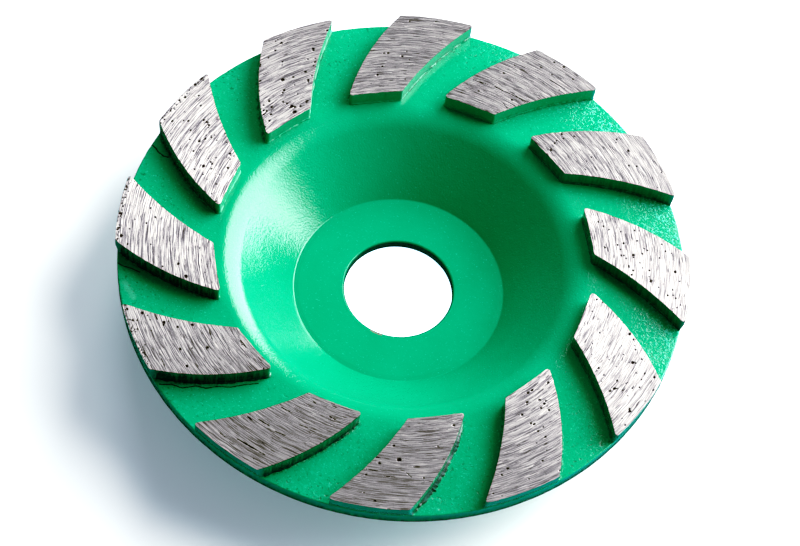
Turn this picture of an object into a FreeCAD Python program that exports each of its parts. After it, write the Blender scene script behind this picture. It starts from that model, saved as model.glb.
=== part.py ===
import FreeCAD, Part
import math
import os

# Diamond cup wheel for an angle grinder: one turned steel cup with swirl segments on its rim.
# Millimetres. +Z is the spindle axis and points to the work. The origin is the centre of the
# hub's back face, which seats on the grinder's flange. Angles are counted from +X, seen from +Z.

# Wheel
WHEEL_D = 115.0

# Seat on the spindle
BORE_D = 22.23
BORE_FRONT_BREAK = 0.35
BORE_BACK_BREAK = 0.2

# Hub plate, with a low boss on its front
HUB_T = 2.2
BOSS_FACE_D = 0.355 * WHEEL_D
BOSS_EDGE_W = 1.15
BOSS_STEP = 0.35
HUB_BACK_BREAK = 1.2

# Cup: a straight cone that rolls over a lip into the rim. Its mouth is where the cone, drawn on
# past the lip, would meet the rim's face.
CUP_DEPTH = 12.3
CUP_MOUTH_D = 0.5984 * WHEEL_D
CUP_WALL = 2.5
LIP_ROUND = 7.2
LIP_BACK_ROUND = 4.5

# Rim
RIM_T = 2.9
RIM_FRONT_BREAK = 0.2
RIM_BACK_BREAK = 0.5

# Segments
SEGMENTS = 12
FIRST_SEGMENT_ANGLE = 120.0
SEGMENT_H = 3.5
SEGMENT_SETBACK = 0.7
SEGMENT_OVERHANG = 0.45
SEGMENT_OUTER_W = 15.8
SEGMENT_INNER_W = 11.25
SEGMENT_SWEEP = 16.3
LEADING_BOW = 1.4
TRAILING_BOW = 1.0
INNER_END_BOW = 0.15
SEGMENT_CORNER_ROUND = 0.6
OUTER_LAND_H = 1.5
OUTER_BEVEL_W = 0.6
TOP_EDGE_BREAK = 0.2
BASE_H = 0.4
BASE_LEDGE = 0.2

# Places worked out from the sizes
BORE_R = BORE_D / 2
BOSS_FACE_R = BOSS_FACE_D / 2
BOSS_FOOT_R = BOSS_FACE_R + BOSS_EDGE_W
BOSS_FOOT_Z = HUB_T - BOSS_STEP
RIM_Z = HUB_T + CUP_DEPTH
MOUTH_R = CUP_MOUTH_D / 2
SLOPE = (RIM_Z - BOSS_FOOT_Z) / (MOUTH_R - BOSS_FOOT_R)
CONE_ANGLE = math.atan(SLOPE)
LIP_END_R = MOUTH_R + LIP_ROUND * math.tan(CONE_ANGLE / 2)
SEGMENT_OUTER_R = WHEEL_D / 2
SEGMENT_INNER_R = LIP_END_R + SEGMENT_SETBACK
RIM_R = SEGMENT_OUTER_R - SEGMENT_OVERHANG
TOP_Z = RIM_Z + SEGMENT_H
AXIS = FreeCAD.Vector(0, 0, 1)
ORIGIN = FreeCAD.Vector(0, 0, 0)


def rounded_section(corners):
    """A closed section in the XZ plane from (radius, height, rounding) corners."""
    points = [FreeCAD.Vector(r, 0, z) for r, z, rounding in corners]
    count = len(points)
    arcs = []
    for i, (r, z, rounding) in enumerate(corners):
        before = points[i - 1] - points[i]
        after = points[(i + 1) % count] - points[i]
        half = before.getAngle(after) / 2
        reach = 0.0
        if rounding > 0:
            reach = min(rounding / math.tan(half), 0.45 * before.Length, 0.45 * after.Length)
        start = points[i] + before.normalize() * reach
        end = points[i] + after.normalize() * reach
        inward = (before + after).normalize()
        radius = reach * math.tan(half)
        middle = points[i] + inward * (radius / math.sin(half) - radius)
        arcs.append((start, middle, end, reach))
    edges = []
    for i, (start, middle, end, reach) in enumerate(arcs):
        if reach > 0:
            edges.append(Part.Arc(start, middle, end).toShape())
        edges.append(Part.LineSegment(end, arcs[(i + 1) % count][0]).toShape())
    return Part.Face(Part.Wire(edges))


def turned(section):
    """The section turned once round the spindle axis."""
    return section.revolve(ORIGIN, AXIS, 360)


def cup_section():
    """Half the cup's cross-section, from the bore out to the rim and back."""
    back_z = BOSS_FOOT_Z - CUP_WALL / math.cos(CONE_ANGLE)
    hub_back_r = BOSS_FOOT_R - back_z / SLOPE
    rim_back_z = RIM_Z - RIM_T
    lip_back_r = BOSS_FOOT_R + (rim_back_z - back_z) / SLOPE
    corners = [
        (BORE_R, BORE_BACK_BREAK, 0),
        (BORE_R + BORE_BACK_BREAK, 0, 0),
        (hub_back_r - HUB_BACK_BREAK, 0, 0),
        (hub_back_r + HUB_BACK_BREAK * math.cos(CONE_ANGLE), HUB_BACK_BREAK * math.sin(CONE_ANGLE), 0),
        (lip_back_r, rim_back_z, LIP_BACK_ROUND),
        (RIM_R - RIM_BACK_BREAK, rim_back_z, 0),
        (RIM_R, rim_back_z + RIM_BACK_BREAK, 0),
        (RIM_R, RIM_Z - RIM_FRONT_BREAK, 0),
        (RIM_R - RIM_FRONT_BREAK, RIM_Z, 0),
        (MOUTH_R, RIM_Z, LIP_ROUND),
        (BOSS_FOOT_R, BOSS_FOOT_Z, 0),
        (BOSS_FACE_R, HUB_T, 0),
        (BORE_R + BORE_FRONT_BREAK, HUB_T, 0),
        (BORE_R, HUB_T - BORE_FRONT_BREAK, 0),
    ]
    return rounded_section(corners)


def cup_body():
    """The cup, one piece of steel."""
    return turned(cup_section())


def polar(radius, angle):
    """A point in plan at a radius and an angle in degrees."""
    turn = math.radians(angle)
    return FreeCAD.Vector(radius * math.cos(turn), radius * math.sin(turn), 0)


def bowed(start, end, bow):
    """An arc in plan from start to end that bows off its chord, to the left when positive."""
    left = AXIS.cross(end - start).normalize()
    return Part.Arc(start, (start + end) / 2 + left * bow, end).toShape()


def swirl_outline(growth):
    """The swirl shape in plan at angle 0, grown on every side, with rounded corners."""
    outer_half = math.degrees(SEGMENT_OUTER_W / SEGMENT_OUTER_R) / 2
    inner_half = math.degrees(SEGMENT_INNER_W / SEGMENT_INNER_R) / 2
    lead_outer = polar(SEGMENT_OUTER_R, outer_half)
    trail_outer = polar(SEGMENT_OUTER_R, -outer_half)
    lead_inner = polar(SEGMENT_INNER_R, SEGMENT_SWEEP + inner_half)
    trail_inner = polar(SEGMENT_INNER_R, SEGMENT_SWEEP - inner_half)
    sharp = Part.Wire([
        Part.Arc(trail_outer, polar(SEGMENT_OUTER_R, 0), lead_outer).toShape(),
        bowed(lead_outer, lead_inner, -LEADING_BOW),
        bowed(lead_inner, trail_inner, INNER_END_BOW),
        bowed(trail_inner, trail_outer, TRAILING_BOW),
    ])
    rounding = min(SEGMENT_CORNER_ROUND, 0.2 * SEGMENT_INNER_W)
    return Part.Face(sharp).makeOffset2D(-rounding).makeOffset2D(rounding + growth)


def swirl_prism(growth, low, high):
    """The swirl shape as a block from one height to another."""
    outline = swirl_outline(growth)
    outline.translate(AXIS * low)
    return outline.extrude(AXIS * (high - low))


def outer_end_ring():
    """The turned ring that bounds a segment's outer end: a bevel, a land and a broken edge."""
    land_z = TOP_Z - OUTER_LAND_H
    within = SEGMENT_INNER_R / 2
    corners = [
        (within, RIM_Z, 0),
        (SEGMENT_OUTER_R - OUTER_BEVEL_W, RIM_Z, 0),
        (SEGMENT_OUTER_R, land_z, 0),
        (SEGMENT_OUTER_R, TOP_Z - TOP_EDGE_BREAK, 0),
        (SEGMENT_OUTER_R - TOP_EDGE_BREAK, TOP_Z, 0),
        (within, TOP_Z, 0),
    ]
    ring = turned(rounded_section(corners))
    ring.rotate(ORIGIN, AXIS, 180)
    return ring


def segment():
    """One segment at angle 0: the grinding layer on its slightly wider base."""
    layer = swirl_prism(0, RIM_Z, TOP_Z)
    base = swirl_prism(BASE_LEDGE, RIM_Z, RIM_Z + BASE_H)
    whole = layer.fuse(base).common(outer_end_ring())
    return whole.removeSplitter().Solids[0]


def placed(shape, angle):
    """A copy of a segment turned to its place on the rim."""
    copy = shape.copy()
    copy.rotate(ORIGIN, AXIS, angle)
    return copy


def save(shape, node):
    """Writes one node's file."""
    shape.exportStep(os.path.join("parts", node + ".step"))


os.makedirs("parts", exist_ok=True)
save(cup_body(), "cup_body")
one_segment = segment()
for index in range(SEGMENTS):
    angle = FIRST_SEGMENT_ANGLE - index * 360.0 / SEGMENTS
    save(placed(one_segment, angle), "segment_%02d" % (index + 1))
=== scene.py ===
import math
import bpy
import numpy as np
from mathutils import Matrix, Vector, geometry

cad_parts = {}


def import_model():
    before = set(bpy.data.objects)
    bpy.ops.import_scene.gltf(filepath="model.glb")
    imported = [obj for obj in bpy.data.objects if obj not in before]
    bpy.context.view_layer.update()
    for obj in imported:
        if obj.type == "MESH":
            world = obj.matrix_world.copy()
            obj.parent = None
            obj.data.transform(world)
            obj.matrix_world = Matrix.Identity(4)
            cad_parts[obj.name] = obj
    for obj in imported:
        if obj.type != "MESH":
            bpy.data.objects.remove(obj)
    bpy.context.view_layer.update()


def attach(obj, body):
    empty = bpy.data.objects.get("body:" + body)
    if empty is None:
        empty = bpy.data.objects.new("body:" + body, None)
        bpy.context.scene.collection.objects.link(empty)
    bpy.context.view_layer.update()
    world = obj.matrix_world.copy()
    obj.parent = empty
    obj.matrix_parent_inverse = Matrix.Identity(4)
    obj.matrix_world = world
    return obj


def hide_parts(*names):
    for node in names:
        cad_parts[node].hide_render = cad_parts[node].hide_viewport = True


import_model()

MM = 0.001

# Camera: where the photograph was taken from, in the wheel's frame, in millimetres
CAMERA_AT = (-3.42, -268.40, 455.64)
CAMERA_RIGHT = (0.98914, 0.12285, 0.08083)
CAMERA_DOWN = (0.14692, -0.84865, -0.50814)
CAMERA_AHEAD = (0.00617, 0.51449, -0.85747)
FOCAL_PX = 2577.1
PHOTO_W_PX = 800
SENSOR_W = 36.0

# Wheel sizes, in millimetres, as in the solids
WHEEL_R = 57.5
BORE_R = 11.115
HUB_T = 2.2
BOSS_FACE_R = 20.41
BOSS_FOOT_R = 21.56
BOSS_FOOT_Z = 1.85
MOUTH_R = 34.41
RIM_Z = 14.5
RIM_R = 57.05
RIM_T = 2.9
TOP_Z = 18.0
LIP_ROUND = 7.2
CUP_WALL = 2.5
SLOPE = (RIM_Z - BOSS_FOOT_Z) / (MOUTH_R - BOSS_FOOT_R)
CONE = math.atan(SLOPE)

# Segment sizes, in millimetres and degrees, as in the solids
SEGMENTS = 12
FIRST_SEGMENT_ANGLE = 120
SEGMENT_PITCH = 30
SEGMENT_INNER_R = 38.05
SEGMENT_OUTER_W = 15.8
SEGMENT_INNER_W = 11.25
SEGMENT_SWEEP = 16.3
LEADING_BOW = 1.4
TRAILING_BOW = 1.0
INNER_END_BOW = 0.15
SEGMENT_CORNER_ROUND = 0.6

# How fine the meshes are: steps round the cup, spacing round a segment and over its top, and the
# angle in degrees from which an edge is sharp
CUP_STEPS = 590
OUTLINE_STEP = 0.2
TOP_GRID = 0.123
SHARP_FROM = 38


def camera():
    """The camera of the photograph."""
    data = bpy.data.cameras.new("camera")
    data.sensor_width = SENSOR_W
    data.lens = FOCAL_PX / PHOTO_W_PX * SENSOR_W
    data.clip_start = 0.01
    data.clip_end = 20.0
    cam = bpy.data.objects.new("camera", data)
    bpy.context.scene.collection.objects.link(cam)
    x, y, z = Vector(CAMERA_RIGHT), -Vector(CAMERA_DOWN), -Vector(CAMERA_AHEAD)
    turn = Matrix((x, y, z)).transposed().to_quaternion().to_matrix().to_4x4()
    cam.matrix_world = Matrix.Translation(Vector(CAMERA_AT) * MM) @ turn
    bpy.context.scene.camera = cam


camera()


# Noise for shapes: smooth values from a seeded lattice

def lattice(ix, iy, iz, seed):
    """A fixed random value from 0 to 1 at each lattice point."""
    h = (ix * 374761393 + iy * 668265263 + iz * 1911520717 + seed * 974634777) & 0xFFFFFFFF
    h = ((h ^ (h >> 13)) * 1274126177) & 0xFFFFFFFF
    h = ((h ^ (h >> 16)) * 2246822519) & 0xFFFFFFFF
    return ((h ^ (h >> 15)) & 0xFFFFFF) / float(0xFFFFFF)


def noise(x, y, z, seed):
    """Smooth noise from -1 to 1 at points given in noise cells."""
    base = [np.floor(v).astype(np.int64) for v in (x, y, z)]
    f = [v - b for v, b in zip((x, y, z), base)]
    s = [v * v * (3 - 2 * v) for v in f]
    total = 0
    for dx in (0, 1):
        for dy in (0, 1):
            for dz in (0, 1):
                w = (s[0] if dx else 1 - s[0]) * (s[1] if dy else 1 - s[1]) * (s[2] if dz else 1 - s[2])
                total = total + w * lattice(base[0] + dx, base[1] + dy, base[2] + dz, seed)
    return total * 2 - 1


def rough(x, y, z, seed):
    """Two layers of noise, the second finer and weaker."""
    return noise(x, y, z, seed) + 0.5 * noise(x * 2 + 17.3, y * 2, z * 2, seed + 1)


def ring_noise(along, cell, z, cell_z, seed):
    """Noise round an outline, which closes on itself, at a height."""
    turn = 2 * math.pi * along / along[-1]
    radius = along[-1] / (2 * math.pi * cell)
    return noise(radius * np.cos(turn), radius * np.sin(turn), along * 0 + z / cell_z, seed)


def mesh_object(name, co, faces, attributes=None, surfaces=None):
    """A smooth mesh from points in millimetres, face arrays, point values and a material number per face."""
    mesh = bpy.data.meshes.new(name)
    loops = np.concatenate([f.ravel() for f in faces]).astype(np.int32)
    sizes = np.concatenate([np.full(len(f), f.shape[1]) for f in faces]).astype(np.int32)
    mesh.vertices.add(len(co))
    mesh.vertices.foreach_set("co", (np.asarray(co) * MM).astype(np.float32).ravel())
    mesh.loops.add(len(loops))
    mesh.loops.foreach_set("vertex_index", loops)
    mesh.polygons.add(len(sizes))
    starts = np.concatenate([[0], np.cumsum(sizes)[:-1]]).astype(np.int32)
    mesh.polygons.foreach_set("loop_start", starts)
    mesh.polygons.foreach_set("use_smooth", np.ones(len(sizes), bool))
    if surfaces is not None:
        mesh.polygons.foreach_set("material_index", np.asarray(surfaces, np.int32))
    for key, values in (attributes or {}).items():
        layer = mesh.attributes.new(key, "FLOAT", "POINT")
        layer.data.foreach_set("value", np.asarray(values, np.float32))
    mesh.update()
    mesh.validate()
    mesh.set_sharp_from_angle(angle=math.radians(SHARP_FROM))
    obj = bpy.data.objects.new(name, mesh)
    bpy.context.scene.collection.objects.link(obj)
    return obj


# The cup

def rounded_line(corners):
    """Points along a closed section from (radius, height, rounding, arc steps, run steps) corners."""
    pts = np.array([corner[:2] for corner in corners], float)
    n = len(pts)
    cuts = []
    for i, corner in enumerate(corners):
        before = pts[i - 1] - pts[i]
        after = pts[(i + 1) % n] - pts[i]
        lb, la = np.linalg.norm(before), np.linalg.norm(after)
        before, after = before / lb, after / la
        half = math.acos(np.clip(before @ after, -1, 1)) / 2
        reach = min(corner[2] / math.tan(half), 0.48 * lb, 0.48 * la)
        cuts.append((before, after, half, reach))
    out = []
    for i, (before, after, half, reach) in enumerate(cuts):
        arc_steps, run_steps = corners[i][3:]
        radius = reach * math.tan(half)
        inward = (before + after) / np.linalg.norm(before + after)
        centre = pts[i] + inward * radius / math.sin(half)
        a0 = pts[i] + before * reach - centre
        a1 = pts[i] + after * reach - centre
        sweep = math.pi - 2 * half
        for t in np.linspace(0, 1, arc_steps + 1):
            v = (math.sin((1 - t) * sweep) * a0 + math.sin(t * sweep) * a1) / math.sin(sweep)
            out.append(centre + v)
        nxt = (i + 1) % n
        start = pts[i] + after * reach
        end = pts[nxt] + cuts[nxt][0] * cuts[nxt][3]
        # a point close to each end of the run keeps its shading flat
        hold = min(0.06 / np.linalg.norm(end - start), 0.2 / run_steps)
        for t in (hold, *np.linspace(0, 1, run_steps + 1)[1:-1], 1 - hold):
            out.append(start + (end - start) * t)
    return np.array(out)


def cup_line():
    """Half the cup's section with its small roundings, and a boss whose edge slopes as gently as it looks."""
    back_z = BOSS_FOOT_Z - CUP_WALL / math.cos(CONE)
    hub_back_r = BOSS_FOOT_R - back_z / SLOPE
    rim_back = RIM_Z - RIM_T
    lip_back = BOSS_FOOT_R + (rim_back - back_z) / SLOPE
    return rounded_line([
        (BORE_R, 0.2, 0.1, 2, 5),
        (BORE_R + 0.2, 0.0, 0.1, 2, 7),
        (hub_back_r, 0.0, 2.9, 6, 10),
        (lip_back, rim_back, 4.5, 8, 8),
        (RIM_R, rim_back, 0.55, 4, 4),
        (RIM_R, RIM_Z, 0.28, 5, 21),
        (MOUTH_R, RIM_Z, LIP_ROUND, 20, 12),
        (BOSS_FOOT_R - 0.06, HUB_T - 0.063, 0.40, 7, 2),
        (BOSS_FACE_R, HUB_T, 2.0, 3, 9),
        (BORE_R + 0.35, HUB_T, 0.12, 3, 2),
        (BORE_R, HUB_T - 0.35, 0.12, 3, 3),
    ])


def cup():
    """The cup's painted body, turned, with the slight unevenness of a formed part."""
    line = cup_line()
    n = len(line)
    turn = np.arange(CUP_STEPS) * 2 * math.pi / CUP_STEPS
    r = np.repeat(line[:, 0][None, :], CUP_STEPS, 0)
    z = np.repeat(line[:, 1][None, :], CUP_STEPS, 0)
    a = np.repeat(turn[:, None], n, 1)
    # a low ridge where the forming tool left the cone
    ridge = np.exp(-((r - 32.2) / 0.35) ** 2) * (z > 9) * (z < 13.2)
    z = z + 0.008 * ridge
    # the rim's face rises and falls a little, always under the solid's
    uneven = rough(r * np.cos(a) / 9.0, r * np.sin(a) / 9.0, z / 9.0, 3)
    rim = np.clip((r - 38.5) / 2, 0, 1) * (z > 13)
    z = z - 0.03 * (1 + uneven) * rim
    # the rim's outer edge is worn
    edge = np.exp(-((r - RIM_R) / 0.5) ** 2)
    wear = rough(a * 40, z * 0.9, z * 0, 11)
    r = r - 0.05 * edge * np.clip(wear, 0, 1)
    co = np.stack([r * np.cos(a), r * np.sin(a), z], -1).reshape(-1, 3)
    i, j = np.meshgrid(np.arange(CUP_STEPS), np.arange(n), indexing="ij")
    i2, j2 = (i + 1) % CUP_STEPS, (j + 1) % n
    quads = np.stack([i * n + j, i * n + j2, i2 * n + j2, i2 * n + j], -1).reshape(-1, 4)
    return mesh_object("cup", co, [quads])


# The segments' outline and top face

def arc_points(start, end, bow, step):
    """Points on an arc from start to end, which bows to the left of its chord."""
    start, end = np.array(start), np.array(end)
    chord = end - start
    length = np.linalg.norm(chord)
    left = np.array([-chord[1], chord[0]]) / length
    radius = (length ** 2 / 4 + bow ** 2) / (2 * abs(bow))
    centre = (start + end) / 2 + left * (bow - math.copysign(radius, bow))
    a0 = math.atan2(*(start - centre)[::-1])
    a1 = math.atan2(*(end - centre)[::-1])
    sweep = (a1 - a0 + math.pi) % (2 * math.pi) - math.pi
    count = max(2, int(round(length / step)))
    t = a0 + sweep * np.linspace(0, 1, count + 1)
    return centre + radius * np.stack([np.cos(t), np.sin(t)], -1)


def polar(radius, degrees):
    """A point in plan at a radius and an angle."""
    turn = math.radians(degrees)
    return (radius * math.cos(turn), radius * math.sin(turn))


def swirl_sides():
    """The four sides of the swirl in plan at angle 0, as close rows of points with sharp corners."""
    outer_half = math.degrees(SEGMENT_OUTER_W / WHEEL_R) / 2
    inner_half = math.degrees(SEGMENT_INNER_W / SEGMENT_INNER_R) / 2
    lead_outer, trail_outer = polar(WHEEL_R, outer_half), polar(WHEEL_R, -outer_half)
    lead_inner = polar(SEGMENT_INNER_R, SEGMENT_SWEEP + inner_half)
    trail_inner = polar(SEGMENT_INNER_R, SEGMENT_SWEEP - inner_half)
    outer_bow = WHEEL_R * (1 - math.cos(math.radians(outer_half)))
    fine = OUTLINE_STEP / 4
    return [
        arc_points(trail_outer, lead_outer, -outer_bow, fine),
        arc_points(lead_outer, lead_inner, -LEADING_BOW, fine),
        arc_points(lead_inner, trail_inner, INNER_END_BOW, fine),
        arc_points(trail_inner, trail_outer, TRAILING_BOW, fine),
    ]


def swirl_outline():
    """The swirl's outline in plan at angle 0, counter-clockwise, with rounded corners."""
    sides = swirl_sides()
    trimmed = []
    for k, side in enumerate(sides):
        nxt = sides[(k + 1) % 4]
        u = side[-2] - side[-1]
        v = nxt[1] - nxt[0]
        half = math.acos(np.clip(u @ v / np.linalg.norm(u) / np.linalg.norm(v), -1, 1)) / 2
        trimmed.append(SEGMENT_CORNER_ROUND / math.tan(half))
    runs = []
    for k, side in enumerate(sides):
        before, after = trimmed[k - 1], trimmed[k]
        along = np.concatenate([[0], np.cumsum(np.linalg.norm(np.diff(side, axis=0), axis=1))])
        count = max(2, int(round((along[-1] - before - after) / OUTLINE_STEP)))
        want = np.linspace(before, along[-1] - after, count + 1)
        runs.append(np.stack([np.interp(want, along, side[:, 0]), np.interp(want, along, side[:, 1])], -1))
    points = []
    for k, run in enumerate(runs):
        points.append(run)
        p0, p1, p2 = run[-1], sides[k][-1], runs[(k + 1) % 4][0]
        for t in (0.17, 0.34, 0.5, 0.66, 0.83):
            w = 0.72 * 2 * t * (1 - t)
            whole = (1 - t) ** 2 + w + t ** 2
            points.append([((1 - t) ** 2 * p0 + w * p1 + t ** 2 * p2) / whole])
    return np.concatenate(points)


def outward(outline):
    """Unit normals of a closed counter-clockwise outline."""
    ahead = np.roll(outline, -1, 0) - np.roll(outline, 1, 0)
    normal = np.stack([ahead[:, 1], -ahead[:, 0]], -1)
    return normal / np.linalg.norm(normal, axis=1)[:, None]


def inside(points, outline):
    """Which points lie inside a closed outline."""
    x, y = points[:, 0], points[:, 1]
    result = np.zeros(len(points), bool)
    x0, y0 = outline[:, 0], outline[:, 1]
    x1, y1 = np.roll(x0, -1), np.roll(y0, -1)
    for a, b, c, d in zip(x0, y0, x1, y1):
        if b != d:
            crosses = (b > y) != (d > y)
            result ^= crosses & (x < (c - a) * (y - b) / (d - b) + a)
    return result


def top_pattern(ring):
    """Points and triangles that fill a top face on a fine even grid, and which ring point each point is, or -1."""
    low, high = ring.min(0), ring.max(0)
    xs = np.arange(low[0], high[0], TOP_GRID)
    ys = np.arange(low[1], high[1], TOP_GRID * 0.866)
    gx, gy = np.meshgrid(xs, ys)
    gx = gx + (np.arange(len(ys)) % 2)[:, None] * TOP_GRID / 2
    rng = np.random.default_rng(5)
    pts = np.stack([gx.ravel(), gy.ravel()], -1)
    pts = pts + rng.uniform(-0.012, 0.012, pts.shape)
    pts = pts[inside(pts, ring - outward(ring) * TOP_GRID * 0.75)]
    every = [Vector(p) for p in np.concatenate([ring, pts])]
    out = geometry.delaunay_2d_cdt(every, [], [list(range(len(ring)))], 1, 1e-7)
    flat = np.array([tuple(v) for v in out[0]])
    tris = np.array([f for f in out[2] if len(f) == 3])
    origin = np.array([o[0] if o else -1 for o in out[3]])
    return flat, tris, origin


OUTLINE = swirl_outline()
EDGE_NORMAL = outward(OUTLINE)
TOP_POINTS, TOP_TRIS, TOP_SOURCE = top_pattern(OUTLINE - EDGE_NORMAL * 0.1)


def segment_angle(index):
    """The angle at which a segment stands, in radians."""
    return math.radians(FIRST_SEGMENT_ANGLE - SEGMENT_PITCH * index)


def end_radius(z):
    """How far out a segment reaches at a height: a bevel up to a land."""
    return np.interp(z, [RIM_Z, TOP_Z - 1.5, TOP_Z - 0.15, TOP_Z], [56.9, 57.48, 57.48, 57.3])


# Marks on the ground faces, in plan

# Gouges as start, end, half-width and depth
GOUGES = (
    (-26.3, -47.4, -20.6, -49.9, 0.24, 1.0),
    (-23.2, -42.5, -20.6, -43.7, 0.20, 0.8),
    (-19.5, -44.6, -17.5, -45.2, 0.18, 0.8),
    (-19.1, -39.3, -16.8, -40.2, 0.20, 0.9),
    (-15.4, -42.4, -13.4, -42.9, 0.15, 0.7),
    (-9.8, -39.7, -8.4, -40.3, 0.15, 0.8),
    (-13.4, -37.0, -12.5, -37.5, 0.15, 0.8),
    (-25.2, -42.3, -24.2, -43.0, 0.20, 0.8),
    (-30.2, -46.3, -28.7, -47.4, 0.16, 0.7),
    (7.3, -47.8, 8.8, -47.6, 0.14, 1.0),
    (5.1, -48.9, 6.0, -48.9, 0.12, 0.8),
    (6.0, -49.0, 7.4, -50.0, 0.10, 0.7),
    (2.0, -50.7, 4.3, -50.5, 0.12, 0.7),
    (-2.4, -54.7, -0.9, -54.6, 0.12, 0.8),
    (-1.3, -49.7, 0.9, -49.7, 0.14, 0.8),
    (12.4, -45.3, 13.4, -45.1, 0.12, 0.8),
    (4.9, -39.4, 6.0, -39.3, 0.12, 0.7),
    (-0.4, -46.9, 1.0, -46.9, 0.20, 1.0),
    (1.0, -44.2, 1.8, -44.2, 0.14, 0.8),
    (3.5, -57.3, 4.4, -57.2, 0.14, 0.8),
    (8.8, 43.2, 12.1, 42.5, 0.16, 1.0),
    (13.7, 42.3, 15.4, 41.5, 0.20, 1.0),
    (15.9, 41.4, 20.8, 39.6, 0.12, 0.8),
    (18.3, 40.6, 20.3, 39.4, 0.13, 0.8),
    (15.7, 38.5, 16.8, 37.3, 0.15, 0.9),
    (22.9, 45.4, 24.5, 44.3, 0.14, 0.8),
    (24.4, 46.2, 28.2, 44.3, 0.12, 0.7),
    (6.7, 40.2, 7.9, 40.0, 0.14, 0.8),
    (-46.4, -23.1, -45.6, -24.4, 0.16, 0.8),
    (-29.1, -26.1, -27.7, -27.6, 0.16, 0.9),
    (-35.5, -24.7, -34.4, -27.0, 0.14, 0.8),
    (-43.5, -32.5, -42.1, -35.0, 0.14, 0.7),
    (-47.2, -31.7, -46.4, -32.5, 0.16, 0.8),
)

# Pits as place and half-width
PITS = (
    (-31.9, 30.3, 0.20), (-29.1, 30.6, 0.20), (-27.2, 29.8, 0.34), (-26.5, 29.8, 0.20), (-26.4, 28.6, 0.36),
    (-25.4, 30.2, 0.20), (-24.3, 31.7, 0.20), (-32.7, 27.8, 0.20), (-32.1, 27.8, 0.20), (-32.5, 26.8, 0.20),
    (-31.1, 27.1, 0.20), (-31.2, 25.5, 0.20), (-31.2, 28.9, 0.20), (-31.6, 45.2, 0.24), (-32.6, 43.1, 0.20),
    (-22.6, 50.1, 0.24), (-29.3, 33.5, 0.22), (-24.0, 41.7, 0.20), (-27.9, 37.1, 0.20), (-24.8, 36.9, 0.20),
    (28.3, -27.6, 0.20), (29.9, -29.5, 0.20), (30.9, -30.2, 0.20), (32.0, -31.4, 0.20), (30.4, -31.2, 0.20),
    (26.9, -33.3, 0.20), (29.4, -34.9, 0.20), (31.8, -37.3, 0.20), (30.3, -36.3, 0.20), (27.6, -30.4, 0.20),
    (-50.6, 21.9, 0.20), (-47.4, 22.5, 0.20), (-44.3, 23.3, 0.20), (-43.1, 22.3, 0.20), (-43.3, 18.8, 0.20),
    (-45.2, 15.5, 0.20), (-43.6, 22.9, 0.20), (-41.8, -13.7, 0.30), (-48.8, -23.3, 0.26), (-44.3, -24.7, 0.28),
    (-38.8, -24.3, 0.24), (-40.2, -30.0, 0.22), (-38.3, -33.5, 0.22), (14.1, -37.7, 0.20), (1.2, -56.0, 0.20),
    (-6.3, 46.4, 0.20), (-9.3, 46.7, 0.20), (-19.0, 50.9, 0.20),
)

# How many more small pits each segment has, which have pitted outer edges too, and how deep each
# segment's grinding grooves are
LOOSE_PITS = (70, 24, 26, 46, 105, 100, 60, 14, 12, 26, 44, 110)
PITTED_EDGES = (9, 10, 11)
EDGE_PITS = 80
GROOVES = (0.6, 0.7, 1.2, 0.7, 0.5, 0.5, 0.7, 0.9, 1.5, 1.8, 1.1, 0.9)
PIT_DEPTH = 0.15


def groove_relief(local, index):
    """Height of the ground face in millimetres: grooves that run round the spindle, and how dark their bottoms are,
    partly as painted shade.
    """
    x, y = local[:, 0], local[:, 1]
    r = np.hypot(x, y)
    s = r * np.arctan2(y, x)
    zero = x * 0
    seed = 300 + 20 * index
    q = r + 0.20 * noise(x / 4.5, y / 4.5, zero, seed) + 0.04 * noise(x / 1.3, y / 1.3, zero, seed + 1)
    wide = noise(q / 0.46, s / 4.6, zero, seed + 2)
    narrow = noise(q / 0.27, s / 2.8, zero, seed + 3)
    slow = noise(q / 1.3, s / 8.0, zero, seed + 4)
    height = GROOVES[index] * (0.0015 * wide + 0.006 * narrow + 0.001 * slow)
    dark = np.clip(-narrow * 2.2 - 1.25, 0, 1) * 0.2 * GROOVES[index]
    return height, dark


def pit_marks(index, rng):
    """Pits as (x, y, half-width, strength): those with a place, then loose ones about one segment."""
    marks = [(x, y, half, 1.0) for x, y, half in PITS]
    angle = segment_angle(index)
    for _ in range(LOOSE_PITS[index]):
        radius = rng.uniform(39, 57)
        turn = angle + math.radians(rng.uniform(-9, 33))
        half = math.exp(rng.normal(math.log(0.145), 0.3))
        marks.append((radius * math.cos(turn), radius * math.sin(turn), half, rng.uniform(0.55, 1.0)))
    if index in PITTED_EDGES:
        for _ in range(EDGE_PITS):
            radius = 57.45 - abs(rng.normal(0, 0.55))
            turn = angle + math.radians(rng.uniform(-9, 8.5))
            half = math.exp(rng.normal(math.log(0.11), 0.4))
            marks.append((radius * math.cos(turn), radius * math.sin(turn), half, rng.uniform(0.25, 0.8)))
    return marks


def sunk(q):
    """Depth, from 0 to 1, at q half-widths from the middle of a mark."""
    return np.clip(1.7 - 1.4 * q, 0, 1)


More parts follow.
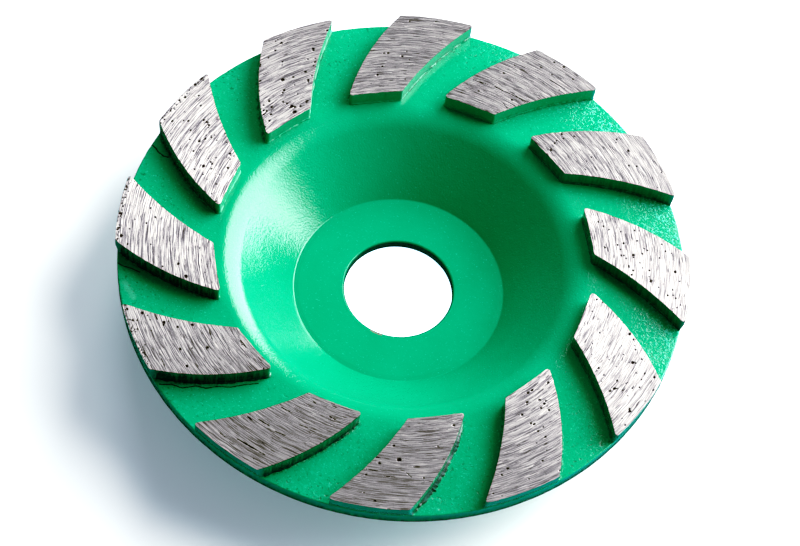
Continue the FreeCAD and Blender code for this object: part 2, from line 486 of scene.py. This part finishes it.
def pitted(plan, index, rng):
    """How deep each point lies in the nearest of the pits and gouges, from 0 to 1."""
    depth = np.zeros(len(plan))
    for px, py, half, strength in pit_marks(index, rng):
        near = np.abs(plan - (px, py)).max(1) < half * 3 + 0.3
        if near.any():
            d = plan[near] - (px, py)
            ring = math.hypot(px, py)
            u = (d @ np.array([-py, px])) / ring / (half * 1.25)
            v = (d @ np.array([px, py])) / ring / half
            q = np.hypot(u, v) + 0.3 * noise(plan[near, 0] / 0.16, plan[near, 1] / 0.16, u * 0, 77)
            depth[near] = np.maximum(depth[near], strength * sunk(q))
    for x0, y0, x1, y1, half, strength in GOUGES:
        start, run = np.array([x0, y0]), np.array([x1 - x0, y1 - y0])
        near = (np.abs(plan - start - run / 2) < np.abs(run) / 2 + 1.0).all(1)
        if near.any():
            d = plan[near] - start
            t = np.clip(d @ run / (run @ run), 0, 1)
            away = np.linalg.norm(d - t[:, None] * run, axis=1)
            taper = 0.6 * half * (0.4 + 0.6 * np.sin(math.pi * np.clip(t * 0.9 + 0.05, 0, 1)))
            q = away / taper + 0.7 * noise(plan[near, 0] / 0.35, plan[near, 1] / 0.35, t * 0, 78) + 0.15
            depth[near] = np.maximum(depth[near], strength * sunk(q))
    return depth


# The segments' sides: how much painted shade darkens each leading side, each inner end with its trailing side, and the
# outer ends; which leading sides are ribbed, which ledges are wide, and which one is neat or crumbly
LEADING_SHADE = (0.25, 0.2, 0.15, 0.2, 0.2, 0.3, 0.3, 0.4, 0.9, 1.0, 0.9, 0.6)
TRAILING_SHADE = (0.0, 0.1, 0.0, 0.4, 0.55, 0.4, 0.2, 0.0, 0.0, 0.0, 0.0, 0.0)
END_SHADE = 0.15
RIBBED_SEGMENTS = (8, 9)
WIDE_LEDGES = (8, 9, 10, 11)
NEAT_LEDGE = 2
CRUMBLY_SEGMENT = 7


def base_ledge(index, along, side):
    """The ragged ledge at a segment's foot: its width, its height, and where it has a crumbly crust."""
    seed = 500 + 10 * index
    width = 0.16 + 0.10 * ring_noise(along, 0.9, 0, 1, seed + 3) + 0.06 * ring_noise(along, 0.35, 0, 1, seed + 4)
    height = 0.30 + 0.10 * ring_noise(along, 1.3, 0, 1, seed + 5)
    crust = along * 0
    if index in WIDE_LEDGES:
        width = width + 0.14 * np.clip(ring_noise(along, 1.6, 0, 1, seed + 6), -0.6, 1)
    if index == CRUMBLY_SEGMENT:
        crust = np.clip((0.15 - np.abs(side - 0.36)) / 0.05, 0, 1)
        crust = crust * np.clip(0.75 + 0.5 * ring_noise(along, 3.0, 0, 1, seed + 6), 0, 1)
        crumbs = np.clip(0.5 + ring_noise(along, 0.30, 0, 1, seed + 7), 0, 1)
        width = width + crust * (0.36 + 0.50 * crumbs)
        height = height - crust * (0.16 - 0.22 * crumbs)
    if index == NEAT_LEDGE:
        width, height = 0.15 + 0.02 * width, 0.40 + 0.05 * height
    return np.maximum(width, 0.03), height, crust


def wall_rings(index, along):
    """The segment's sides as (height, growth) rings from the top edge to the rim, their painted shade and their crust.
    """
    seed = 500 + 10 * index
    zero = along * 0
    jag = 0.035 * ring_noise(along, 0.32, 0, 1, seed) + 0.02 * ring_noise(along, 0.75, 0, 1, seed + 1)
    # the way round the outline: the outer end up to 0.21, the leading side up to 0.53, then the rest
    side = along / along[-1]
    lead = np.clip((0.165 - np.abs(side - 0.37)) / 0.02, 0, 1)
    trail = np.clip((side - 0.52) / 0.02, 0, 1)
    end = np.clip((0.22 - side) / 0.02, 0, 1)
    # painted shade on each segment's sides, carried to the paint as a point value
    side_shade = lead * LEADING_SHADE[index] + trail * TRAILING_SHADE[index] + end * END_SHADE
    # mould ribs on the leading side
    ribs = np.clip(ring_noise(along, 0.34, 0, 1, seed + 2), -0.1, 1) * lead
    ribs = ribs * (0.13 if index in RIBBED_SEGMENTS else 0.03)
    width, height, crust = base_ledge(index, along, side)
    rings = [(TOP_Z - 0.035 + zero, jag - 0.03), (TOP_Z - 0.10 + zero, jag - 0.005), (TOP_Z - 0.22 + zero, 0.6 * jag)]
    for z in np.linspace(TOP_Z - 0.5, RIM_Z + 0.95, 9):
        wobble = 0.022 * ring_noise(along, 1.2, z, 1.2, seed + 8) + 0.014 * ring_noise(along, 0.4, z, 0.5, seed + 9)
        rings.append((z + zero, ribs + wobble + 0.3 * jag))
    foot = RIM_Z + height
    rings += [
        (foot + 0.10, zero + 0.005),
        (foot + 0.03, 0.22 * width),
        (foot, 0.62 * width),
        (foot - 0.03, 0.90 * width),
        (RIM_Z + 0.5 * height, width),
        (RIM_Z + 0.02 + zero, width),
        (RIM_Z - 0.1 + zero, width),
    ]
    return rings, side_shade, crust


# Below which noise value a face is bare metal, in each of the first three rows under the top edge
BARE_ROWS = (0.9, 0.25, -0.4)


def segment(index):
    """One segment: ground top face, painted sides with their mould marks, and a ragged base ledge."""
    angle = segment_angle(index)
    rng = np.random.default_rng(100 + index)
    turn = np.array([[math.cos(angle), math.sin(angle)], [-math.sin(angle), math.cos(angle)]])
    ring_n = len(OUTLINE)
    along = np.concatenate([[0], np.cumsum(np.linalg.norm(np.diff(OUTLINE, axis=0), axis=1))])
    rings, side_shade, crust = wall_rings(index, along)
    ring_of = np.full(ring_n, -1)
    for v, source in enumerate(TOP_SOURCE):
        if 0 <= source < ring_n:
            ring_of[source] = v
    top = TOP_POINTS.copy()
    top[ring_of] = OUTLINE + EDGE_NORMAL * (rings[0][1] - 0.04)[:, None]
    deep = pitted(top @ turn, index, rng)
    groove, dark = groove_relief(top, index)
    z_top = np.minimum(TOP_Z - 0.03 + groove - PIT_DEPTH * deep, TOP_Z)
    co = [np.column_stack([top, z_top])]
    # pits, gouges and groove bottoms are coloured dark, partly as painted shade in the hollows
    pits_shade_crust = [np.maximum(deep, 0.6 * dark)]
    for z, grow in rings:
        ring = OUTLINE + EDGE_NORMAL * grow[:, None]
        ring = ring * np.minimum(1, end_radius(z) / np.linalg.norm(ring, axis=1))[:, None]
        co.append(np.column_stack([ring, z]))
        # the point value on the sides: painted shade, and crust low down
        low_down = np.clip((RIM_Z + 1.1 - z) / 0.4, 0, 1)
        pits_shade_crust.append(side_shade + low_down * crust * 2)
    co[1][:, 2] = np.minimum(co[1][:, 2], z_top[ring_of] - 0.004)
    rows = [ring_of] + [len(top) + k * ring_n + np.arange(ring_n) for k in range(len(rings))]
    quads, surface = [], [np.zeros(len(TOP_TRIS), int)]
    for k, (upper, lower) in enumerate(zip(rows[:-1], rows[1:])):
        quads.append(np.stack([upper, lower, np.roll(lower, -1), np.roll(upper, -1)], -1))
        painted = np.ones(ring_n, int)
        if k < len(BARE_ROWS):
            painted[ring_noise(along, 0.4, 0.7 * k, 1, 600 + index) < BARE_ROWS[k]] = 0
        surface.append(painted)
    bottom = rows[-1][::-1][None, :]
    surface.append(np.ones(1, int))
    points = np.concatenate(co)
    points[:, :2] = points[:, :2] @ turn
    name = "segment_%02d_look" % (index + 1)
    return mesh_object(name, points, [TOP_TRIS, np.concatenate(quads), bottom],
                       {"pits_shade_crust": np.concatenate(pits_shade_crust)}, np.concatenate(surface))


# Materials

class Nodes:
    """Short calls for building a node tree."""

    def __init__(self, material):
        material.use_nodes = True
        self.tree = material.node_tree
        self.tree.nodes.clear()

    def add(self, kind, settings=None, **inputs):
        """A new node with its settings and its inputs, whose names have _ for a space."""
        node = self.tree.nodes.new(kind)
        for key, value in (settings or {}).items():
            setattr(node, key, value)
        for key, value in inputs.items():
            self.put(node, key.replace("_", " "), value)
        return node

    def put(self, node, key, value):
        """Links a socket to an input, or sets the input's own value. The key is a name or a number."""
        if isinstance(value, bpy.types.NodeSocket):
            self.tree.links.new(value, node.inputs[key])
        else:
            node.inputs[key].default_value = value

    def math(self, operation, a, b, clamp=False):
        node = self.add("ShaderNodeMath", {"operation": operation, "use_clamp": clamp})
        self.put(node, 0, a)
        self.put(node, 1, b)
        return node.outputs[0]

    def times(self, *factors):
        """The product of values."""
        result = factors[0]
        for factor in factors[1:]:
            result = self.math("MULTIPLY", result, factor)
        return result

    def total(self, *parts):
        """The sum of values, each times its own weight."""
        result = None
        for value, weight in parts:
            part = self.math("MULTIPLY", value, weight)
            result = part if result is None else self.math("ADD", result, part)
        return result

    def highest(self, *values):
        """The greatest of several values."""
        result = values[0]
        for value in values[1:]:
            result = self.math("MAXIMUM", result, value)
        return result

    def ramp(self, value, low, high, to_low=0.0, to_high=1.0):
        """The value brought from one range to another, and held at its ends."""
        node = self.add("ShaderNodeMapRange", None, Value=value, From_Min=low, From_Max=high, To_Min=to_low,
                        To_Max=to_high)
        return node.outputs[0]

    def vector(self, operation, a, b=None):
        """Vector maths on one or two vectors."""
        node = self.add("ShaderNodeVectorMath", {"operation": operation})
        self.put(node, 0, a)
        if b is not None:
            self.put(node, 1, b)
        return node.outputs["Value" if operation in ("LENGTH", "DOT_PRODUCT") else "Vector"]

    def shift(self, vector, by):
        """The vector moved to another part of the noise."""
        return self.vector("ADD", vector, (by, 2 * by, 0.0))

    def place(self):
        """Object coordinates, which are the wheel's own frame in metres."""
        return self.tree.nodes.new("ShaderNodeTexCoord").outputs["Object"]

    def split(self, vector):
        node = self.add("ShaderNodeSeparateXYZ", None, Vector=vector)
        return node.outputs[0], node.outputs[1], node.outputs[2]

    def join(self, x, y, z):
        return self.add("ShaderNodeCombineXYZ", None, X=x, Y=y, Z=z).outputs[0]

    def noise(self, vector, scale, detail=2.0, roughness=0.5):
        node = self.add("ShaderNodeTexNoise", None, Vector=vector, Scale=scale, Detail=detail, Roughness=roughness)
        return node.outputs["Fac"]

    def spots(self, vector, scale, low, high, detail=2.0, roughness=0.5):
        """Noise cut to spots with soft edges: 0 up to the low value, 1 from the high one."""
        return self.ramp(self.noise(vector, scale, detail, roughness), low, high)

    def mark(self):
        """The meshes' own point value: pits and dark groove bottoms on the metal, painted shade and crust on the paint.
        """
        return self.add("ShaderNodeAttribute", {"attribute_name": "pits_shade_crust"}).outputs["Fac"]

    def mix(self, factor, a, b):
        node = self.add("ShaderNodeMix", {"data_type": "RGBA"})
        self.put(node, 0, factor)
        self.put(node, 6, a)
        self.put(node, 7, b)
        return node.outputs[2]

    def coats(self, colour, *coats):
        """A colour with other colours laid over it in turn, each as (amount, colour)."""
        for amount, over in coats:
            colour = self.mix(amount, colour, over)
        return colour

    def bump(self, height):
        """The surface's normal from a relief in millimetres."""
        return self.add("ShaderNodeBump", None, Height=height, Distance=1.0 * MM, Strength=1.0).outputs[0]

    def around(self, x, y, r, sway, across, along):
        """Cells that run round the spindle axis, across and along in millimetres, at the rim's middle."""
        turns = 48.0 / along
        return self.join(self.times(self.math("ADD", r, sway), 1 / (across * MM)),
                         self.times(self.math("DIVIDE", x, r), turns),
                         self.times(self.math("DIVIDE", y, r), turns))

    def stroke(self, x, y, half_width, seed, points):
        """How strongly a point lies on a thin wandering line in plan, through points in millimetres."""
        here = self.join(x, y, 0.0)
        nearest = None
        for (ax, ay), (bx, by) in zip(points[:-1], points[1:]):
            run = Vector((bx - ax, by - ay, 0.0)) * MM
            off = self.vector("SUBTRACT", here, (ax * MM, ay * MM, 0.0))
            part = self.math("DIVIDE", self.vector("DOT_PRODUCT", off, tuple(run)), run.length_squared, True)
            ahead = self.join(self.times(part, run.x), self.times(part, run.y), 0.0)
            away = self.vector("LENGTH", self.vector("SUBTRACT", off, ahead))
            nearest = away if nearest is None else self.math("MINIMUM", nearest, away)
        uneven = self.ramp(self.noise(self.shift(here, seed), 2500.0, 1.0), 0.3, 0.7, 0.5, 1.3)
        return self.ramp(self.math("DIVIDE", nearest, uneven), half_width * MM, half_width * 0.5 * MM)

    def surface(self, shader):
        self.add("ShaderNodeOutputMaterial", None, Surface=shader.outputs[0])


# Small damage to the paint, in plan, as half-width, seed and points: three cracks on the rim, a
# scuff, and bare metal at the bore
CRACKS = (
    (0.16, 1.0, ((-56.4, -10.8), (-54.5, -11.5), (-53.1, -11.7), (-51.2, -12.3))),
    (0.20, 2.0, ((-54.5, 18.1), (-53.1, 17.1), (-52.5, 16.3), (-51.3, 15.5), (-50.3, 15.4))),
    (0.17, 5.0, ((-43.1, -36.4), (-40.6, -36.1), (-38.6, -36.5), (-36.1, -35.6), (-34.2, -35.8), (-31.8, -35.0),
                 (-29.6, -34.8), (-27.0, -33.8), (-24.4, -33.1))),
)
SCUFF = (0.9, 3.0, ((-53.6, -15.3), (-51.5, -18.2)))
NICK = (0.20, 4.0, ((-4.3, -10.7), (-3.2, -11.2), (-2.1, -11.4)))

# The segments' two long sides: angle in degrees at 48 mm from the spindle, and its slope and bend per mm
LONG_SIDES = ((16.234, -0.870, 0.001), (-0.459, -0.806, 0.005))

# Colours of the paint, of what lies on it or shows through, and of the light and shade painted on it
PAINT = ((0.0, 0.247, 0.114, 1), (0.0, 0.268, 0.126, 1))
FLECK_SPARKLE = (0.03, 0.42, 0.24, 1)
LUMP_HIGHLIGHT = (0.01, 0.40, 0.23, 1)
STIPPLE_SPARKLE = (0.05, 0.55, 0.40, 1)
DARK_AT_FEET = (0.0, 0.045, 0.02, 1)
HOLE_SHADE = (0.0, 0.07, 0.03, 1)
RUST = (0.10, 0.045, 0.012, 1)
OUTER_FACE_SHADED = ((0.0, 0.23, 0.19, 1), (0.0, 0.055, 0.036, 1))
PAINTED_SHADE_COLOUR = (0.0, 0.026, 0.021, 1)
CRUST = ((0.0, 0.022, 0.017, 1), (0.015, 0.10, 0.08, 1))
CRACK = (0.0, 0.012, 0.006, 1)
SCUFFED = (0.20, 0.45, 0.34, 1)
BARE_STEEL = (0.20, 0.17, 0.14, 1)

# Colours of the ground metal, from its dull grain to its pits, with painted glints, painted shade on the near segments
# and a painted wash of light on the right-hand ones
BOND = ((0.125, 0.115, 0.127, 1), (0.52, 0.503, 0.480, 1))
BOND_LIT_RIGHT = (0.375, 0.362, 0.353, 1)
BOND_NEAR_SHADE = (0.10, 0.088, 0.095, 1)
PAINTED_GLINT = (0.86, 0.83, 0.79, 1)
SCRATCH = (0.045, 0.038, 0.042, 1)
PIT = (0.022, 0.017, 0.019, 1)


def foot_distance(n, x, y, r):
    """How far a point of the rim lies from the nearest long side of a segment, in millimetres."""
    off = n.math("SUBTRACT", n.times(r, 1000.0), 48.0)
    square = n.times(off, off)
    theta = n.times(n.math("ARCTAN2", y, x), 180 / math.pi)
    near = None
    for at, slope, bend in LONG_SIDES:
        side = n.math("ADD", n.math("ADD", n.times(off, slope), at), n.times(square, bend))
        apart = n.math("PINGPONG", n.math("SUBTRACT", theta, side), SEGMENT_PITCH / 2)
        near = apart if near is None else n.math("MINIMUM", near, apart)
    return n.times(near, r, 1000 * math.pi / 180)


def paint_material():
    """Satin green paint over steel: fine peel, a cast skin on the rim with painted sparkle, highlights and shade,
    darkening at the segments' feet, and painted shade on the segments' sides and in the bore.
    """
    material = bpy.data.materials.new("green_paint")
    n = Nodes(material)
    place = n.place()
    x, y, z = n.split(place)
    r = n.vector("LENGTH", n.join(x, y, 0.0))
    foot = foot_distance(n, x, y, r)
    mark = n.mark()
    side_shade = n.ramp(mark, 0.0, 1.0)
    crust = n.ramp(mark, 1.0, 1.8)

    # the rim, the segments' sides on it, and the flats between them
    on_rim = n.times(n.ramp(r, 0.0375, 0.040), n.ramp(z, 0.0139, 0.0144))
    on_side = n.ramp(z, 0.01455, 0.0147)
    flat = n.times(on_rim, n.math("SUBTRACT", 1.0, on_side))

    # the cast skin on the flats: lumps, holes and pebbles in patches, stronger towards the outside
    patch = n.ramp(n.noise(place, 160.0), 0.40, 0.62, 0.45, 1.0)
    busy = n.times(n.ramp(r, 0.043, 0.056, 0.35, 1.0), patch, flat)
    lumps = n.spots(place, 1100.0, 0.58, 0.72)
    holes = n.spots(n.shift(place, 3.1), 1500.0, 0.60, 0.70)
    cast = n.times(n.math("SUBTRACT", lumps, holes), busy)
    pebbles = n.times(n.noise(n.shift(place, 1.7), 1500.0, 3.0, 0.6), busy)
    skin = n.times(n.total((cast, 0.022), (pebbles, 0.062)), n.ramp(x, 0.035, 0.005, 0.42, 1.0))

    # dense stipple on the rim's outer right, the side the light falls on, and crumbs at the feet
    right = n.times(n.ramp(x, 0.005, 0.045), n.ramp(r, 0.046, 0.055), n.ramp(y, -0.03, 0.0), flat)
    stipple = n.times(n.spots(n.shift(place, 9.4), 2100.0, 0.54, 0.63, 1.0), right)
    close = n.times(n.ramp(foot, 0.9, 0.25), flat)
    crumbs = n.times(n.spots(n.shift(place, 7.7), 2300.0, 0.50, 0.66, 2.0, 0.6), close)

    # relief: all of these on the paint's waves and peel, which fade on the rim and the hub
    waves = n.noise(place, 650.0)
    peel = n.noise(place, 2800.0, 1.0)
    crack = n.times(n.highest(*[n.stroke(x, y, *line) for line in CRACKS]), flat)
    height = n.total((skin, 1.0), (crumbs, 0.035), (stipple, 0.05), (waves, 0.030), (peel, 0.038), (crack, -0.12))
    still = n.highest(n.times(on_rim, 0.6), n.ramp(r, 0.0220, 0.0212))
    height = n.math("SUBTRACT", height, n.times(peel, still, 0.032))

    # darkening at the feet, rust along the top edges, painted shade on the sides and in the bore, and damage
    # painted sparkle: pale specks, more on the rim, that stand in for glints off the paint's grain
    fleck_sparkle = n.total((n.noise(n.shift(place, 5.3), 3000.0, 1.0, 0.6), 1.0), (on_rim, 0.03))
    # patchy darkening on the rim close to the segments' feet
    dark_at_feet = n.times(n.ramp(foot, 0.75, 0.15), n.spots(place, 1300.0, 0.42, 0.60, 3.0, 0.6), on_rim,
                   n.ramp(z, 0.0156, 0.0148))
    rust = n.times(n.ramp(z, 0.01782, 0.01792), n.spots(place, 900.0, 0.42, 0.56, 2.0, 0.6))
    streaks = n.noise(n.join(n.times(x, 1600.0), n.times(y, 1600.0), n.times(z, 180.0)), 1.0)
    # the outer face: teal, with painted shade deepening towards its bottom
    face = n.times(n.ramp(r, 0.05680, 0.05700), n.ramp(z, 0.01445, 0.01425))
    end = n.times(n.ramp(r, 0.05620, 0.05670), on_side)
    bore = n.times(n.ramp(r, 0.01150, 0.01135), n.ramp(z, 0.00215, 0.0019))
    # painted shade on the segments' sides, deeper towards their feet, and in the bore
    side_shade_to_foot = n.times(side_shade, n.ramp(z, 0.0174, 0.0152, 0.80, 1.15))
    painted_shade = n.highest(n.times(side_shade_to_foot, n.ramp(streaks, 0.40, 0.60, 0.70, 1.12)), n.times(bore, 0.95))
    scuff = n.times(n.stroke(x, y, *SCUFF), flat)
    nick = n.times(n.stroke(x, y, *NICK), n.ramp(z, 0.0035, 0.0030))
    colour = n.coats(
        n.mix(n.spots(place, 90.0, 0.3, 0.7, 3.0, 0.6), *PAINT),
        (n.ramp(fleck_sparkle, 0.68, 0.76, 0.0, 0.7), FLECK_SPARKLE),
        # painted highlight: lumps of the cast skin coloured lighter, as if lit
        (n.times(lumps, busy, 0.55), LUMP_HIGHLIGHT),
        # painted sparkle: the stipple's bumps coloured pale, as if catching the light
        (n.times(stipple, 0.6), STIPPLE_SPARKLE),
        (n.times(dark_at_feet, 0.75), DARK_AT_FEET),
        # painted shade: holes of the cast skin coloured darker
        (n.times(holes, busy, 0.75), HOLE_SHADE),
        (n.times(rust, 0.8), RUST),
        # the outer face and the segments' outer ends, with painted shade towards the bottom
        (n.times(n.highest(face, end), n.ramp(streaks, 0.40, 0.60, 0.75, 1.0)),
         n.mix(n.ramp(z, 0.0142, 0.0122), *OUTER_FACE_SHADED)),
        (painted_shade, PAINTED_SHADE_COLOUR),
        (n.times(crust, 0.9), n.mix(n.spots(n.shift(place, 4.4), 2600.0, 0.42, 0.56, 2.0, 0.7), *CRUST)),
        (n.times(crack, 0.9), CRACK),
        (n.times(scuff, 0.14), SCUFFED),
        (nick, BARE_STEEL),
    )

    sheen = n.ramp(n.noise(place, 700.0), 0.3, 0.7, 0.06, 0.09)
    roughness = n.total((sheen, 1.0), (on_side, 0.08), (busy, 0.05), (n.times(n.highest(lumps, holes), busy), 0.12),
                        (crust, 0.80))
    shader = n.add("ShaderNodeBsdfPrincipled", None, Base_Color=colour, Roughness=roughness, Normal=n.bump(height))
    shader.inputs["Specular IOR Level"].default_value = 0.45
    n.surface(shader)
    return material


def metal_material():
    """The ground top face: a sintered metal bond, scratched round the spindle, with dark pits partly painted as shade,
    painted glints, painted shade on the near segments and painted light on the right-hand ones.
    """
    material = bpy.data.materials.new("ground_metal")
    n = Nodes(material)
    place = n.place()
    x, y, z = n.split(place)
    r = n.vector("LENGTH", n.join(x, y, 0.0))
    sway = n.times(n.math("SUBTRACT", n.noise(place, 260.0), 0.5), 0.0004)
    broad = n.spots(n.around(x, y, r, sway, 0.21, 8.0), 1.0, 0.40, 0.54, 1.0)
    fine = n.spots(n.around(x, y, r, sway, 0.13, 4.5), 1.0, 0.42, 0.56, 1.0)
    # x and y change places here, for another part of the noise
    scratch = n.spots(n.around(y, x, r, sway, 0.19, 2.4), 1.0, 0.63, 0.67, 1.0)
    # painted glints: bright lines that stand in for light caught on the grooves' walls
    painted_glint = n.spots(n.around(x, y, r, n.math("ADD", sway, 0.1), 0.16, 3.6), 1.0, 0.60, 0.68, 1.0)
    grain = n.noise(place, 3600.0, 2.0, 0.6)
    shade = n.total((fine, 0.42), (broad, 0.34), (grain, 0.4))
    colour = n.coats(
        n.mix(n.ramp(shade, 0.30, 0.82), *BOND),
        # painted light: the right-hand segments' metal washed toward an even mid grey, where the light falls on them
        (n.ramp(x, 0.018, 0.040, 0.0, 0.42), BOND_LIT_RIGHT),
        (n.times(painted_glint, 0.7), PAINTED_GLINT),
        # painted shade: the metal darker on the near segments, towards negative y
        (n.ramp(y, -0.028, -0.045, 0.0, 0.18), BOND_NEAR_SHADE),
        (n.times(scratch, 0.85), SCRATCH),
        # pits, gouges and groove bottoms near black: partly their own dark, partly painted shade in the hollows
        (n.ramp(n.mark(), 0.04, 0.35), PIT),
    )
    roughness = n.ramp(shade, 0.28, 0.82, 0.78, 0.66)
    height = n.total((fine, 0.011), (broad, 0.011), (grain, 0.006), (scratch, -0.02))
    to_world = {"vector_type": "VECTOR", "convert_from": "OBJECT", "convert_to": "WORLD"}
    radial = n.add("ShaderNodeVectorTransform", to_world, Vector=n.join(x, y, 0.0))
    shader = n.add("ShaderNodeBsdfPrincipled", None, Base_Color=colour, Roughness=roughness, Normal=n.bump(height),
                   Tangent=radial.outputs[0])
    shader.inputs["Metallic"].default_value = 1.0
    shader.inputs["Anisotropic"].default_value = 0.70
    n.surface(shader)
    return material


# Floor and light

FLOOR_HALF = 3000.0
FLOOR_Z = -0.02
FLOOR_CORNERS = ((-1, -1), (1, -1), (1, 1), (-1, 1))


def floor():
    """A pale floor under the hub, brighter where it shows through the bore and dim in reflections."""
    co = np.array([(a * FLOOR_HALF, b * FLOOR_HALF, FLOOR_Z) for a, b in FLOOR_CORNERS])
    obj = mesh_object("floor", co, [np.array([[0, 1, 2, 3]])])
    material = bpy.data.materials.new("floor")
    n = Nodes(material)
    shader = n.add("ShaderNodeBsdfPrincipled", None, Base_Color=(0.86, 0.87, 0.88, 1.0), Roughness=0.8)
    shader.inputs["Specular IOR Level"].default_value = 0.1
    shader.inputs["Emission Color"].default_value = (0.6, 0.85, 1.0, 1.0)
    paths = n.add("ShaderNodeLightPath").outputs
    through = n.times(n.ramp(n.vector("LENGTH", n.place()), 0.0132, 0.0128),
                      n.math("SUBTRACT", 1.0, paths["Is Diffuse Ray"]))
    n.put(shader, "Emission Strength", n.math("ADD", n.times(through, 1.6), 0.19))
    dim = n.add("ShaderNodeBsdfDiffuse", None, Color=(0.03, 0.04, 0.04, 1.0))
    both = n.add("ShaderNodeMixShader", None, Fac=paths["Is Glossy Ray"])
    n.put(both, 1, shader.outputs[0])
    n.put(both, 2, dim.outputs[0])
    n.surface(both)
    obj.data.materials.append(material)


# Lights as azimuth and elevation in degrees, distance and size in metres, power, and the point they
# face. The softbox's glow fades between two distances from its core, in shares of its width.
SOFTBOX = (27, 27, 0.50, 0.77, 18.7, (-0.03, 0.0, 0.012))
SOFTBOX_CORE = (0.68, 0.42, 0.0)
SOFTBOX_FADE = (0.40, 0.62)
FILL = (115, 42, 0.25, 0.10, 0.2, (0.0, 0.0, 0.0))


def area_light(name, azimuth, elevation, distance, size, power, target):
    """An area light that faces a target, from an azimuth and an elevation in degrees."""
    light = bpy.data.lights.new(name, "AREA")
    light.size = size
    light.energy = power
    obj = bpy.data.objects.new(name, light)
    bpy.context.scene.collection.objects.link(obj)
    a, e = math.radians(azimuth), math.radians(elevation)
    back = Vector((math.cos(a) * math.cos(e), math.sin(a) * math.cos(e), math.sin(e)))
    obj.location = Vector(target) + back * distance
    obj.rotation_mode = "QUATERNION"
    obj.rotation_quaternion = back.to_track_quat("Z", "Y")
    return obj


def softbox():
    """A big round studio softbox, brightest low and to the right of its middle."""
    light = area_light("softbox", *SOFTBOX).data
    light.shape = "DISK"
    light.use_nodes = True
    tree = light.node_tree
    tree.nodes.clear()
    where = tree.nodes.new("ShaderNodeNewGeometry")
    away = tree.nodes.new("ShaderNodeVectorMath")
    away.operation = "DISTANCE"
    away.inputs[1].default_value = SOFTBOX_CORE
    fall = tree.nodes.new("ShaderNodeMapRange")
    for key, number in (("From Min", SOFTBOX_FADE[0]), ("From Max", SOFTBOX_FADE[1]), ("To Min", 1.0), ("To Max", 0.0)):
        fall.inputs[key].default_value = number
    glow = tree.nodes.new("ShaderNodeEmission")
    out = tree.nodes.new("ShaderNodeOutputLight")
    tree.links.new(where.outputs["Parametric"], away.inputs[0])
    tree.links.new(away.outputs["Value"], fall.inputs["Value"])
    tree.links.new(fall.outputs[0], glow.inputs["Strength"])
    tree.links.new(glow.outputs[0], out.inputs[0])


def fill():
    """A weak light that opens the shadows and shows in no reflection."""
    area_light("fill", *FILL).visible_glossy = False


def world():
    """A dim even surround, darker in reflections."""
    surround = bpy.data.worlds.new("studio")
    bpy.context.scene.world = surround
    surround.use_nodes = True
    tree = surround.node_tree
    tree.nodes.clear()
    out = tree.nodes.new("ShaderNodeOutputWorld")
    path = tree.nodes.new("ShaderNodeLightPath")
    mix = tree.nodes.new("ShaderNodeMixShader")
    tree.links.new(path.outputs["Is Glossy Ray"], mix.inputs[0])
    for slot, colour, strength in ((1, (0.95, 0.98, 1.0, 1), 0.25), (2, (0.75, 0.92, 1.0, 1), 0.07)):
        background = tree.nodes.new("ShaderNodeBackground")
        background.inputs[0].default_value = colour
        background.inputs[1].default_value = strength
        tree.links.new(background.outputs[0], mix.inputs[slot])
    tree.links.new(mix.outputs[0], out.inputs[0])


# The photograph's contrast: points of the curve for all colours, and of the one for blue
TONE = ((0.02, 0.006), (0.05, 0.025), (0.1, 0.078), (0.2, 0.18), (0.35, 0.34), (0.5, 0.52), (0.7, 0.73))
BLUE = ((0.04, 0.031), (0.08, 0.064), (0.13, 0.112), (0.17, 0.160), (0.22, 0.230), (0.30, 0.322), (0.36, 0.383),
        (0.52, 0.547))


def tone_curve():
    """Sets the view's contrast."""
    view = bpy.context.scene.view_settings
    view.view_transform = "Standard"
    view.look = "None"
    mapping = view.curve_mapping
    view.use_curve_mapping = True
    mapping.extend = "EXTRAPOLATED"
    mapping.use_clip = False
    blue, combined = mapping.curves[2], mapping.curves[3]
    combined.points[0].location = (0.0, 0.0)
    combined.points[1].location = (1.0, 0.98)
    for curve, points in ((combined, TONE), (blue, BLUE)):
        for x, y in points:
            curve.points.new(x, y)
    mapping.update()


tone_curve()

cup_piece = cup()
green = paint_material()
cup_piece.data.materials.append(green)
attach(cup_piece, "root")
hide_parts("cup_body")

metal = metal_material()
for number in range(SEGMENTS):
    piece = segment(number)
    piece.data.materials.append(metal)
    piece.data.materials.append(green)
    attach(piece, "root")
    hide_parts("segment_%02d" % (number + 1))

floor()
world()
softbox()
fill()
